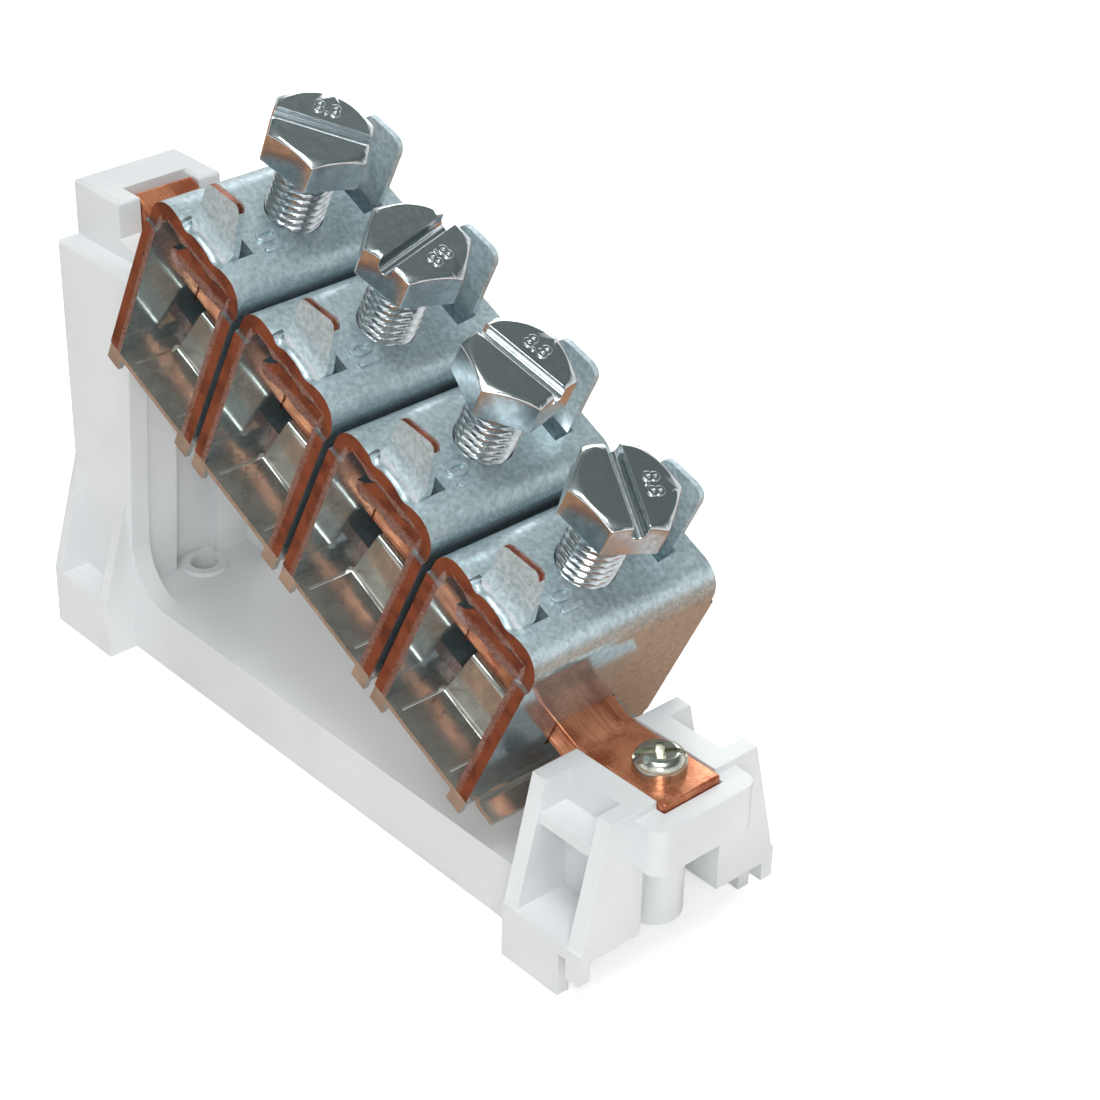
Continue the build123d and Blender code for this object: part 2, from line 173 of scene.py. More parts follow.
def face_outwards() -> None:
    """Select the whole mesh, in edit mode, and turn its faces outwards."""
    bpy.ops.mesh.select_all(action="SELECT")
    bpy.ops.mesh.normals_make_consistent(inside=False)


def settle(name: str) -> bpy.types.Object:
    """Name the primitive just added and move its place and size into its mesh.

    Args:
        name: its name.

    Returns:
        The object.
    """
    piece = bpy.context.active_object
    piece.name = name
    bpy.ops.object.transform_apply(location=True, rotation=True, scale=True)
    return piece


def apply_modifier(piece: bpy.types.Object, kind: str, **settings: object) -> None:
    """Add a modifier with its settings and apply it at once.

    Args:
        piece: the object to change.
        kind: the modifier's type.
        settings: its properties by name.
    """
    activate(piece)
    modifier = piece.modifiers.new(kind.title(), kind)
    for name, value in settings.items():
        setattr(modifier, name, value)
    bpy.ops.object.modifier_apply(modifier=modifier.name)


def carve(piece: bpy.types.Object, tool: bpy.types.Object, operation: str = "DIFFERENCE") -> None:
    """Cut, join or intersect a piece with a tool body, which is then deleted.

    Args:
        piece: the object that is kept.
        tool: the cutter.
        operation: the boolean's operation.
    """
    apply_modifier(piece, "BOOLEAN", object=tool, operation=operation, solver="EXACT")
    bpy.data.objects.remove(tool, do_unlink=True)


def join(pieces: Sequence[bpy.types.Object], name: str) -> bpy.types.Object:
    """Join several meshes into the first one and name it.

    Args:
        pieces: the objects, the first of which is kept.
        name: its new name.

    Returns:
        The joined object.
    """
    activate(pieces[0])
    for piece in pieces[1:]:
        piece.select_set(True)
    if len(pieces) > 1:
        bpy.ops.object.join()
    pieces[0].name = name
    pieces[0].data.name = name
    return pieces[0]


def soften(piece: bpy.types.Object, width: float, segments: int = 2) -> None:
    """Round a piece's sharp edges and shade it smooth between them.

    Args:
        piece: the object.
        width: the bevel's width in the piece's own units.
        segments: the bevel's steps.
    """
    apply_modifier(
        piece, "BEVEL", width=width, segments=segments, limit_method="ANGLE", angle_limit=BEVEL_ANGLE,
        use_clamp_overlap=True, miter_outer="MITER_ARC",
    )
    activate(piece)
    bpy.ops.object.shade_smooth_by_angle(angle=SMOOTH_ANGLE)


def put_down(piece: bpy.types.Object, place: Matrix) -> None:
    """Set a piece modelled in millimetres down at its place, in metres, with its object at the origin.

    Args:
        piece: the object.
        place: the turn and shift from its own frame, in millimetres, to the row's frame.
    """
    piece.data.transform(Matrix.Scale(MM, 4) @ place)
    piece.data.update()
    apply_modifier(piece, "WEIGHTED_NORMAL", keep_sharp=True, weight=NORMAL_WEIGHT)


def box(name: str, low: Sequence[float], high: Sequence[float]) -> bpy.types.Object:
    """Add a box between two corners.

    Args:
        name: the object's name.
        low: its lowest corner.
        high: its highest corner.

    Returns:
        The new object, with its place in its mesh.
    """
    centre = [(a + b) / 2 for a, b in zip(low, high)]
    bpy.ops.object.select_all(action="DESELECT")
    bpy.ops.mesh.primitive_cube_add(size=1, location=centre, scale=[b - a for a, b in zip(low, high)])
    return settle(name)


def disc(name: str, radius: float, low: float, high: float, vertices: int = 64,
         top_radius: float | None = None) -> bpy.types.Object:
    """Add an upright cylinder or frustum on the Z axis.

    Args:
        name: the object's name.
        radius: its radius at the bottom.
        low: height of its lower face.
        high: height of its upper face.
        vertices: its number of sides.
        top_radius: its radius at the top, if that differs.

    Returns:
        The new object, with its place in its mesh.
    """
    bpy.ops.object.select_all(action="DESELECT")
    bpy.ops.mesh.primitive_cone_add(
        vertices=vertices, radius1=radius, radius2=radius if top_radius is None else top_radius,
        depth=high - low, location=(0, 0, (low + high) / 2),
    )
    return settle(name)


def prism(name: str, outline: Outline, low: float, high: float, run: Run = Run.UP) -> bpy.types.Object:
    """Extrude an outline into a straight prism.

    Args:
        name: the object's name.
        outline: corners on the two axes that the prism doesn't run along, in their order.
        low: where the prism starts on its own axis.
        high: where it ends.
        run: the axis that it runs along.

    Returns:
        The new object.
    """
    bpy.ops.object.select_all(action="DESELECT")
    bpy.ops.mesh.primitive_circle_add(vertices=len(outline), fill_type="NGON")
    piece = settle(name)
    for vertex, corner in zip(piece.data.vertices, outline):
        place = list(corner)
        place.insert(run.value, low)
        vertex.co = place
    move = [0.0, 0.0, 0.0]
    move[run.value] = high - low
    with editing(piece):
        bpy.ops.mesh.select_all(action="SELECT")
        bpy.ops.mesh.extrude_region_move(TRANSFORM_OT_translate={"value": move})
        face_outwards()
    return piece


def emboss(figures: str, size: float, proud: float) -> bpy.types.Object:
    """Shape plain raised figures lying flat at the origin.

    Args:
        figures: the numbers.
        size: the size of the type.
        proud: how far they stand up.

    Returns:
        The figures as one mesh.
    """
    bpy.ops.object.select_all(action="DESELECT")
    bpy.ops.object.text_add()
    type_face = bpy.context.active_object.data
    type_face.body = figures
    type_face.size = size
    type_face.offset = BOLD_MM
    type_face.extrude = proud - ROUNDING_MM
    type_face.bevel_depth = ROUNDING_MM
    type_face.resolution_u = 4
    type_face.align_x = type_face.align_y = "CENTER"
    bpy.ops.object.convert(target="MESH")
    words = bpy.context.active_object
    with editing(words):
        bpy.ops.mesh.select_all(action="SELECT")
        bpy.ops.mesh.remove_doubles(threshold=MERGE_MM)
        face_outwards()
    return words


# Colours and shader nodes


def linear(colour: str) -> tuple[float, float, float, float]:
    """Turn an sRGB hex colour into the linear values that shaders take.

    Args:
        colour: six hex digits, with or without a leading hash.

    Returns:
        Linear red, green, blue and an alpha of one.
    """
    digits = colour.lstrip("#")
    values = [int(digits[i:i + 2], 16) / 255 for i in (0, 2, 4)]
    red, green, blue = (v / 12.92 if v <= 0.04045 else ((v + 0.055) / 1.055) ** 2.4 for v in values)
    return red, green, blue, 1.0


def wire(tree: bpy.types.NodeTree, node: bpy.types.Node, links: Links) -> None:
    """Link output sockets to a node's inputs.

    Args:
        tree: the material's node tree.
        node: the node that takes them in.
        links: the output socket for each input, by name or number.
    """
    for name, source in links.items():
        tree.links.new(source, node.inputs[name])


def add_node(tree: bpy.types.NodeTree, kind: str, settings: dict[str, object] | None = None,
             values: dict[str | int, object] | None = None, links: Links | None = None) -> bpy.types.Node:
    """Add a shader node with its settings, its socket values and its links.

    Args:
        tree: the material's node tree.
        kind: the node's type.
        settings: the node's own properties.
        values: values of its input sockets, by name or number.
        links: output sockets to link to its inputs, by name or number.

    Returns:
        The new node.
    """
    node = tree.nodes.new(kind)
    for name, value in (settings or {}).items():
        setattr(node, name, value)
    for name, value in (values or {}).items():
        node.inputs[name].default_value = value
    wire(tree, node, links or {})
    return node


def set_ramp(node: bpy.types.Node, stops: Sequence[tuple[float, str]]) -> None:
    """Give a colour ramp its stops.

    Args:
        node: the colour ramp.
        stops: position and sRGB hex colour of each stop.
    """
    ramp = node.color_ramp
    while len(ramp.elements) < len(stops):
        ramp.elements.new(0.5)
    for element, (place, colour) in zip(ramp.elements, stops):
        element.position = place
        element.color = linear(colour)


def start_material(name: str) -> tuple[bpy.types.Material, bpy.types.NodeTree, bpy.types.Node]:
    """Start a material with one Principled shader.

    Args:
        name: the material's name.

    Returns:
        The material, its node tree and its shader.
    """
    material = bpy.data.materials.new(name)
    material.use_nodes = True
    tree = material.node_tree
    return material, tree, tree.nodes["Principled BSDF"]


# Finishes


@dataclass(frozen=True)
class PolyamideFinish:
    """Injection-moulded polyamide, light grey: a soft satin skin with the tool's fine spark texture."""

    colour: str = "DDE0E1"
    shade: str = "D3D6D8"
    roughness: float = 0.42
    ior: float = 1.53
    glow_through_mm: float = 2.0  # reach of the light that enters it
    cloud_mm: float = 30.0
    spark_grain_mm: float = 0.35  # a real tool's grain is finer and wouldn't show
    spark_height_mm: float = 0.03

    def build(self) -> bpy.types.Material:
        """Build the material."""
        material, tree, shader = start_material("moulded_polyamide_light_grey")
        shader.inputs["Roughness"].default_value = self.roughness
        shader.inputs["IOR"].default_value = self.ior
        shader.inputs["Subsurface Weight"].default_value = 0.15
        shader.inputs["Subsurface Radius"].default_value = [self.glow_through_mm * MM] * 3
        place = add_node(tree, "ShaderNodeTexCoord")
        cloud = add_node(tree, "ShaderNodeTexNoise", values={"Scale": 1 / (self.cloud_mm * MM), "Detail": 2.0},
                         links={"Vector": place.outputs["Object"]})
        tone = add_node(tree, "ShaderNodeValToRGB", links={"Fac": cloud.outputs["Fac"]})
        set_ramp(tone, [(0.35, self.shade), (0.65, self.colour)])
        grain = add_node(tree, "ShaderNodeTexNoise", values={"Scale": 1 / (self.spark_grain_mm * MM)},
                         links={"Vector": place.outputs["Object"]})
        bump = add_node(tree, "ShaderNodeBump", values={"Strength": 0.12, "Distance": self.spark_height_mm * MM},
                        links={"Height": grain.outputs["Fac"]})
        wire(tree, shader, {"Base Color": tone.outputs["Color"], "Normal": bump.outputs["Normal"]})
        return material


@dataclass(frozen=True)
class ZincFinish:
    """Steel with electroplated, blue-passivated zinc: a cool satin metal with faint clouds."""

    name: str
    colour: str
    cloud_colour: str
    roughness: float
    cloud_roughness: float
    cloud_mm: float
    waviness: float = 0.0  # unevenness of pressed sheet, which bends its reflections
    waviness_mm: float = 7.0
    haze: float = 0.0  # share of light that the film scatters where tumbled dull, a third of it elsewhere
    dulling: float = 0.0  # roughness that tumbling adds there

    def build(self) -> bpy.types.Material:
        """Build the material."""
        material, tree, shader = start_material(self.name)
        clear, hazy = 1.0 - self.haze / 3, 1.0 - self.haze
        shader.inputs["Metallic"].default_value = clear
        place = add_node(tree, "ShaderNodeTexCoord")
        cloud = add_node(tree, "ShaderNodeTexNoise",
                         values={"Scale": 1 / (self.cloud_mm * MM), "Detail": 5.0, "Roughness": 0.62},
                         links={"Vector": place.outputs["Object"]})
        tone = add_node(tree, "ShaderNodeValToRGB", links={"Fac": cloud.outputs["Fac"]})
        set_ramp(tone, [(0.36, self.cloud_colour), (0.64, self.colour)])
        gloss = add_node(tree, "ShaderNodeMapRange",
                         values={"From Min": 0.35, "From Max": 0.65,
                                 "To Min": self.cloud_roughness, "To Max": self.roughness},
                         links={"Value": cloud.outputs["Fac"]})
        wire(tree, shader, {"Base Color": tone.outputs["Color"], "Roughness": gloss.outputs["Result"]})
        if self.dulling > 0:
            tumbled = add_node(tree, "ShaderNodeAttribute", {"attribute_name": "tumbled"})
            metal = add_node(tree, "ShaderNodeMapRange", {"clamp": False},
                             values={"To Min": clear, "To Max": hazy}, links={"Value": tumbled.outputs["Fac"]})
            total = add_node(tree, "ShaderNodeMath", {"operation": "MULTIPLY_ADD"}, values={1: self.dulling},
                             links={0: tumbled.outputs["Fac"], 2: gloss.outputs["Result"]})
            wire(tree, shader, {"Metallic": metal.outputs["Result"], "Roughness": total.outputs["Value"]})
        if self.waviness > 0:
            wave = add_node(tree, "ShaderNodeTexNoise",
                            values={"Scale": 1 / (self.waviness_mm * MM), "Detail": 1.0},
                            links={"Vector": place.outputs["Object"]})
            bump = add_node(tree, "ShaderNodeBump",
                            values={"Strength": 1.0, "Distance": self.waviness * MM},
                            links={"Height": wave.outputs["Fac"]})
            wire(tree, shader, {"Normal": bump.outputs["Normal"]})
        return material


@dataclass(frozen=True)
class ShearedEdgeFinish:
    """Edge of strip cut after plating: a smooth brown sheared band and a torn, speckled one; their brown and
    pinkish-grey colours are a painted reflection of a warm table top.
    """

    # The colours below are a painted reflection: brown and pinkish grey stand in for the warm table top that the bare
    # edge mirrors.
    sheared: str = "8C5038"
    sheared_dark: str = "683628"
    torn: str = "7C5A54"
    torn_light: str = "AA968F"
    bareness: float = 0.6
    speckle_mm: float = 0.45
    mottle_mm: float = 4.0
    border: tuple[float, float] = (0.58, 0.8)  # depth in the sheet where the torn band sets in
    raggedness: float = 0.16
    sheared_roughness: float = 0.24
    torn_roughness: float = 0.42
    torn_depth_mm: float = 0.08

    def build(self) -> bpy.types.Material:
        """Build the material, which reads how deep in the sheet a point lies from an attribute."""
        material, tree, shader = start_material("sheared_strip_edge_painted_table_reflection")
        shader.inputs["Metallic"].default_value = self.bareness
        depth = add_node(tree, "ShaderNodeAttribute", {"attribute_name": "sheet_depth"})
        place = add_node(tree, "ShaderNodeTexCoord")
        speckle = add_node(tree, "ShaderNodeTexNoise",
                           values={"Scale": 1 / (self.speckle_mm * MM), "Detail": 6.0, "Roughness": 0.7},
                           links={"Vector": place.outputs["Object"]})
        # Patches of darker and lighter brown in the painted table reflection.
        mottle = add_node(tree, "ShaderNodeTexNoise", values={"Scale": 1 / (self.mottle_mm * MM), "Detail": 3.0},
                         links={"Vector": place.outputs["Object"]})
        smooth = add_node(tree, "ShaderNodeValToRGB", links={"Fac": mottle.outputs["Fac"]})
        set_ramp(smooth, [(0.35, self.sheared_dark), (0.55, self.sheared)])
        rough = add_node(tree, "ShaderNodeValToRGB", links={"Fac": speckle.outputs["Fac"]})
        set_ramp(rough, [(0.42, self.torn), (0.66, self.torn_light)])
        shift = add_node(tree, "ShaderNodeMapRange", values={"To Min": -self.raggedness, "To Max": self.raggedness},
                         links={"Value": speckle.outputs["Fac"]})
        ragged = add_node(tree, "ShaderNodeMath", {"operation": "ADD"},
                          links={0: depth.outputs["Fac"], 1: shift.outputs["Result"]})
        border = add_node(tree, "ShaderNodeMapRange", values=dict(zip(("From Min", "From Max"), self.border)),
                          links={"Value": ragged.outputs["Value"]})
        mix = add_node(tree, "ShaderNodeMix", {"data_type": "RGBA"},
                       links={0: border.outputs["Result"], 6: smooth.outputs["Color"], 7: rough.outputs["Color"]})
        gloss = add_node(tree, "ShaderNodeMapRange",
                         values={"To Min": self.sheared_roughness, "To Max": self.torn_roughness},
                         links={"Value": border.outputs["Result"]})
        bump = add_node(tree, "ShaderNodeBump", values={"Distance": self.torn_depth_mm * MM},
                        links={"Height": speckle.outputs["Fac"], "Strength": border.outputs["Result"]})
        wire(tree, shader, {"Base Color": mix.outputs[2], "Roughness": gloss.outputs["Result"],
                            "Normal": bump.outputs["Normal"]})
        return material


@dataclass(frozen=True)
class DrawnCopperFinish:
    """Drawn copper bar: warm metal with long die lines and darker oxide patches."""

    colour: str = "D8906A"
    oxide: str = "984E30"
    bareness: float = 0.7
    roughness: float = 0.3
    die_line_mm: float = 0.22
    die_line_height_mm: float = 0.03
    line_length: float = 40.0  # in widths of a line
    patch_mm: float = 6.0

    def build(self, along: Vector) -> bpy.types.Material:
        """Build the material.

        Args:
            along: the bar's own direction, which the die lines follow.

        Returns:
            The material.
        """
        material, tree, shader = start_material("drawn_copper_oxidised")
        shader.inputs["Metallic"].default_value = self.bareness
        place = add_node(tree, "ShaderNodeTexCoord")
        turn = Vector((1, 0, 0)).rotation_difference(along).to_euler()
        mapped = add_node(tree, "ShaderNodeMapping", {"vector_type": "TEXTURE"},
                          values={"Rotation": turn, "Scale": (self.line_length, 1.0, 1.0)},
                          links={"Vector": place.outputs["Object"]})
        lines = add_node(tree, "ShaderNodeTexNoise",
                         values={"Scale": 1 / (self.die_line_mm * MM), "Detail": 4.0, "Roughness": 0.6},
                         links={"Vector": mapped.outputs["Vector"]})
        patch = add_node(tree, "ShaderNodeTexNoise", values={"Scale": 1 / (self.patch_mm * MM), "Detail": 3.0},
                         links={"Vector": place.outputs["Object"]})
        blend = add_node(tree, "ShaderNodeMath", {"operation": "MULTIPLY"},
                         links={0: lines.outputs["Fac"], 1: patch.outputs["Fac"]})
        tone = add_node(tree, "ShaderNodeValToRGB", links={"Fac": blend.outputs["Value"]})
        set_ramp(tone, [(0.16, self.oxide), (0.32, self.colour)])
        gloss = add_node(tree, "ShaderNodeMapRange",
                         values={"From Min": 0.3, "From Max": 0.7,
                                 "To Min": self.roughness + 0.1, "To Max": self.roughness - 0.06},
                         links={"Value": lines.outputs["Fac"]})
        bump = add_node(tree, "ShaderNodeBump", values={"Strength": 0.25, "Distance": self.die_line_height_mm * MM},
                        links={"Height": lines.outputs["Fac"]})
        wire(tree, shader, {"Base Color": tone.outputs["Color"], "Roughness": gloss.outputs["Result"],
                            "Normal": bump.outputs["Normal"]})
        return material


@dataclass
class Finishes:
    """Every material of the block, built once."""

    plastic: bpy.types.Material
    cage: bpy.types.Material
    cut_edge: bpy.types.Material
    guard: bpy.types.Material
    bolt: bpy.types.Material
    screw: bpy.types.Material
    copper: bpy.types.Material

    @classmethod
    def build(cls, along: Vector) -> "Finishes":
        """Build the set.

        Args:
            along: the bar's own direction.

        Returns:
            The finishes.
        """
        return cls(
            plastic=PolyamideFinish().build(),
            cage=ZincFinish("pressed_strip_zinc_plated", "C6D6DB", "9FB1B7", roughness=0.1, cloud_roughness=0.15,
                            cloud_mm=0.9, waviness=0.006, haze=0.42, dulling=0.24).build(),
            cut_edge=ShearedEdgeFinish().build(),
            guard=ZincFinish("thin_sheet_zinc_plated", "C2C1B8", "A8A79F", roughness=0.13, cloud_roughness=0.2,
                             cloud_mm=3.0, waviness=0.02, waviness_mm=5.0, haze=0.8).build(),
            bolt=ZincFinish("bolt_steel_bright_zinc", "CFD5D8", "B7BFC2", roughness=0.15, cloud_roughness=0.24,
                            cloud_mm=1.2).build(),
            screw=ZincFinish("screw_steel_zinc", "C9CBC2", "A9ABA0", roughness=0.17, cloud_roughness=0.26,
                             cloud_mm=1.2).build(),
            copper=DrawnCopperFinish().build(along),
        )


# The clamps' own frame


@dataclass(frozen=True)
class BarFrame:
    """Directions of the sloping bar, read from the first bolt's joint."""

    along: Vector
    up: Vector

    @classmethod
    def read(cls, frame: dict) -> "BarFrame":
        """Read the bar's directions from the frame's joints.


        Returns:
            The bar's frame.
        """
        axis = Vector(next(j["axis"] for j in frame["joints"] if j["name"] == "bolt_turn_1"))
        up = -axis.normalized()
        return cls(along=Vector((up.z, 0, -up.x)), up=up)

    def place(self, pivot: Vector) -> Matrix:
        """Give the turn and shift, in millimetres, of a clamp whose bolt's joint stands at a pivot.

        Args:
            pivot: the joint's place in metres.

        Returns:
            The matrix from the clamp's own frame to the row's.
        """
        origin = pivot / MM - self.up * PIVOT_HEIGHT
        turn = Matrix((self.along, Vector((0, 1, 0)), self.up)).transposed().to_4x4()
        return Matrix.Translation(origin) @ turn


# Pieces


@dataclass
class StripPath:
    """Bends a steel strip along a path in the clamp's XZ plane by extruding and spinning its end."""

    sheet: float
    depth: float
    bend_steps: int = 7

    def start(self, name: str, x: float, z: float) -> bpy.types.Object:
        """Lay the strip's first cross-section flat at a height.

        Args:
            name: the strip's name.
            x: the middle of its thickness.
            z: its height.

        Returns:
            The new object, a single face.
        """
        bpy.ops.object.select_all(action="DESELECT")
        bpy.ops.mesh.primitive_plane_add(size=1, location=(x, 0, z))
        bpy.context.active_object.scale = (self.sheet, self.depth, 1)
        return settle(name)

    def go(self, dx: float, dz: float, steps: int = 1) -> None:
        """Extrude the selected end straight on, in edit mode.

        Args:
            dx: how far along the bar.
            dz: how far up.
            steps: the number of equal lengths it is done in.
        """
        for _ in range(steps):
            bpy.ops.mesh.extrude_region_move(
                TRANSFORM_OT_translate={"value": (dx / steps, 0, dz / steps)}
            )

    def bend(self, centre: tuple[float, float], degrees: float) -> None:
        """Spin the selected end about an axis along Y, in edit mode.

        Args:
            centre: the axis, on X and Z.
            degrees: the turn; a positive one turns Z towards X.
        """
        steps = max(2, round(self.bend_steps * abs(degrees) / 90))
        bpy.ops.mesh.spin(
            steps=steps, angle=math.radians(degrees), center=(centre[0], 0, centre[1]), axis=(0, -1, 0)
        )


@dataclass
class CagePiece:
    """One clamp cage: strip bent into a ring, doubled under the top and tapped through both layers."""

    number: int
    width: float = 24.6
    depth: float = 39.0
    top_depth: float = 37.4
    sheet: float = 3.0
    top: float = 23.1
    bottom: float = -13.3
    ledge: float = 16.8
    corner: float = 4.7
    lap_top: float = 20.05
    web_half: float = 6.3
    bar_thick: float = 5.0
    window_drop: float = 1.0
    hole_radius: float = 5.0
    edge_round: float = 0.32
    tab_front: float = -16.0
    tab_back: float = -14.8
    tab_neck: float = 29.0  # height above which the front tab's narrow sides are cut edges
    rear_tab_front: float = 14.7
    rear_tab_back: float = 15.7
    apron: float = -16.8  # the strip is pressed uneven between this line and its front edge
    pressed_floor: float = 13.5  # nothing below this height is pressed or doubled
    sag: float = 0.3
    sag_half: float = 8.0
    dents: tuple[tuple[float, float, float], ...] = ((-3.7, 1.2, 0.8), (3.8, 1.6, 0.7))  # place, half width, depth
    numeral_size: float = 5.6
    numeral_height: float = 0.65
    numeral_place: tuple[float, float] = (4.4, -7.5)

    @property
    def half(self) -> float:
        """Half the cage's width."""
        return self.width / 2

    @property
    def flange(self) -> float:
        """Height just above the flat top, over which only the tabs stand."""
        return self.top + 0.8

    def wall_stops(self) -> list[float]:
        """Give the heights of a wall's rings, one at each edge of the web and of the bar's window."""
        return [self.bottom + self.sheet, -self.bar_thick - self.window_drop, 0.0, self.ledge]

    def ring(self) -> bpy.types.Object:
        """Bend the strip up the wall nearer the tall post, over the top and down the other wall.

        Returns:
            The strip.
        """
        path = StripPath(self.sheet, self.depth)
        shoulder = self.top - self.corner
        strip = path.start("strip", -self.half + self.sheet / 2, self.bottom)
        stops = [self.bottom, *self.wall_stops(), shoulder]
        with editing(strip):
            bpy.ops.mesh.select_all(action="SELECT")
            for low, high in zip(stops, stops[1:]):
                path.go(0, high - low)
            path.bend((-self.half + self.corner, shoulder), 90)
            path.go(self.width - 2 * self.corner, 0, steps=22)
            path.bend((self.half - self.corner, shoulder), 90)
            for high, low in zip(stops[::-1], stops[-2::-1]):
                path.go(0, low - high)
        return strip

    def lining(self) -> bpy.types.Object:
        """Shape the layer pressed under the top, whose free end droops a little.

        Returns:
            The layer.
        """
        inner, low = self.half - self.sheet, 16.2
        outline = [
            (inner + 0.3, low), (inner + 0.3, self.lap_top), (4.5, self.lap_top), (1.5, self.lap_top),
            (-2.2, self.lap_top), (-3.8, 18.6), (-5.6, 16.7), (-4.9, 15.1), (-3.1, 15.2), (-1.3, 15.5),
            (1.5, 15.9), (4.5, low),
        ]
        return prism("lining", outline, -self.top_depth / 2, self.top_depth / 2, Run.ACROSS)

    def pierce(self, ring: bpy.types.Object) -> None:
        """Open the bar's windows, join the walls by the web under the bar and narrow the top.

        Args:
            ring: the bent strip.
        """
        def on_wall(side: int, low: float, high: float, inside: bool) -> Test:
            """Test for the middle of one wall between two heights, on its inner face or on both."""
            return lambda centre, normal: (
                abs(normal.x) > 0.9 and abs(centre.y) < self.web_half and low < centre.z < high
                and centre.x * side > 0 and (not inside or abs(centre.x) < self.half - 1)
            )

        with editing(ring):
            for y in (-self.web_half, self.web_half, self.apron):
                bpy.ops.mesh.select_all(action="SELECT")
                bpy.ops.mesh.bisect(plane_co=(0, y, 0), plane_no=(0, 1, 0))
            face_outwards()
            for side in (-1, 1):
                pick_faces(ring, on_wall(side, -self.bar_thick - self.window_drop, 0, False))
                bpy.ops.mesh.bridge_edge_loops()
            left, right = (on_wall(side, self.bottom, self.bottom + self.sheet, True) for side in (-1, 1))
            pick_faces(ring, lambda centre, normal: left(centre, normal) or right(centre, normal))
            bpy.ops.mesh.bridge_edge_loops()
            face_outwards()
        reach = self.half + 2
        for side in (-1, 1):
            near, far = side * self.top_depth / 2, side * (self.depth / 2 + 1)
            carve(ring, box("ledge_cut", (-reach, min(near, far), self.ledge),
                            (reach, max(near, far), self.top + 3)))

    def front_tab(self) -> bpy.types.Object:
        """Shape the low front tab, a slanted trapezium on a sloping foot.

        Returns:
            The tab.
        """
        front, back, low = self.tab_front, self.tab_back, self.top - 1.5
        side = [(-17.6, low), (-17.6, 22.85), (-16.9, 23.25), (-16.4, 23.8), (-16.1, 24.6), (front, 25.5),
                (front, 35.0), (back, 35.0), (back, low)]
        tab = prism("front_tab", side, -8, 8, Run.ALONG)
        face = [(-4.8, low - 1), (5.3, low - 1), (5.3, 24.0), (3.6, 31.9), (3.1, 32.8), (2.3, 33.0), (-3.6, 31.3),
                (-4.4, 30.8), (-4.8, 29.9)]
        carve(tab, prism("tab_face", face, -20, -10, Run.ACROSS), "INTERSECT")
        return tab

    def rear_tab(self) -> bpy.types.Object:
        """Shape the taller rear tab, whose top slants and whose shoulders are round."""
        outline = [(-5.0, self.top - 1.2), (4.0, self.top - 1.2), (4.1, 34.4), (3.9, 35.3), (3.4, 36.0), (2.6, 36.3),
                   (1.6, 36.4), (-3.2, 35.8), (-4.1, 35.4), (-4.7, 34.7), (-5.0, 33.7)]
        return prism("rear_tab", outline, self.rear_tab_front, self.rear_tab_back, Run.ACROSS)

    def numerals(self) -> bpy.types.Object:
        """Emboss the plain thread size, to be read from behind.

        Returns:
            The figures.
        """
        words = emboss("10", self.numeral_size, self.numeral_height)
        place = Matrix.Translation((*self.numeral_place, self.top))
        words.data.transform(place @ Matrix.Rotation(math.pi, 4, "Z"))
        return words

    def sheet_depth(self, place: Vector) -> float:
        """Say how deep in its sheet a point of the cut faces lies.

        Args:
            place: the point.

        Returns:
            Zero at the sheet's outer face, one at its inner face.
        """
        shoulder, straight = self.top - self.corner, self.half - self.corner
        if place.z > self.flange:
            deep = (place.y - self.tab_front) * self.sheet / (self.tab_back - self.tab_front)
        elif self.pressed_floor < place.z < self.lap_top + 0.03 and abs(place.x) < self.half - self.sheet - 0.05:
            deep = self.lap_top - place.z
        elif place.z > shoulder:
            centre = max(-straight, min(straight, place.x))
            deep = self.corner - math.hypot(place.x - centre, place.z - shoulder)
        else:
            deep = self.half - abs(place.x)
        return min(1.0, max(0.0, deep / self.sheet))

    def is_cut(self, centre: Vector, normal: Vector) -> bool:
        """Say whether a face was sheared or torn rather than rolled.

        Args:
            centre: the face's centre.
            normal: its normal.

        Returns:
            Whether it was.
        """
        if centre.z > self.flange:
            return abs(normal.y) < 0.5 and centre.z > self.tab_neck and centre.y < 0
        in_window = -self.bar_thick - 1.2 < centre.z < 0.2 and abs(centre.y) < self.web_half + 0.2
        ends = abs(normal.z) > FACING and (in_window or centre.z < self.bottom + 0.2)
        return (abs(normal.y) > FACING and (abs(centre.y) > -self.apron or centre.z < self.ledge)) or ends

    def is_rim(self, centre: Vector, normal: Vector) -> bool:
        """Say whether a face belongs to the rounded rim that the shears burnished."""
        return 0.2 < abs(normal.y) <= FACING and abs(centre.y) > -self.apron and centre.z < self.top + 0.2

    def droop(self, place: Vector) -> float:
        """Say how far the pressed front edge lies below the flat top.

        Args:
            place: a point of the cage.

        Returns:
            The drop there.
        """
        if place.y > self.apron - 0.1 or place.z < self.pressed_floor:
            return 0.0
        low = self.sag * math.exp(-((place.x / self.sag_half) ** 4))
        for at, half, deep in self.dents:
            low += deep * math.exp(-(((place.x - at) / half) ** 2))
        return low

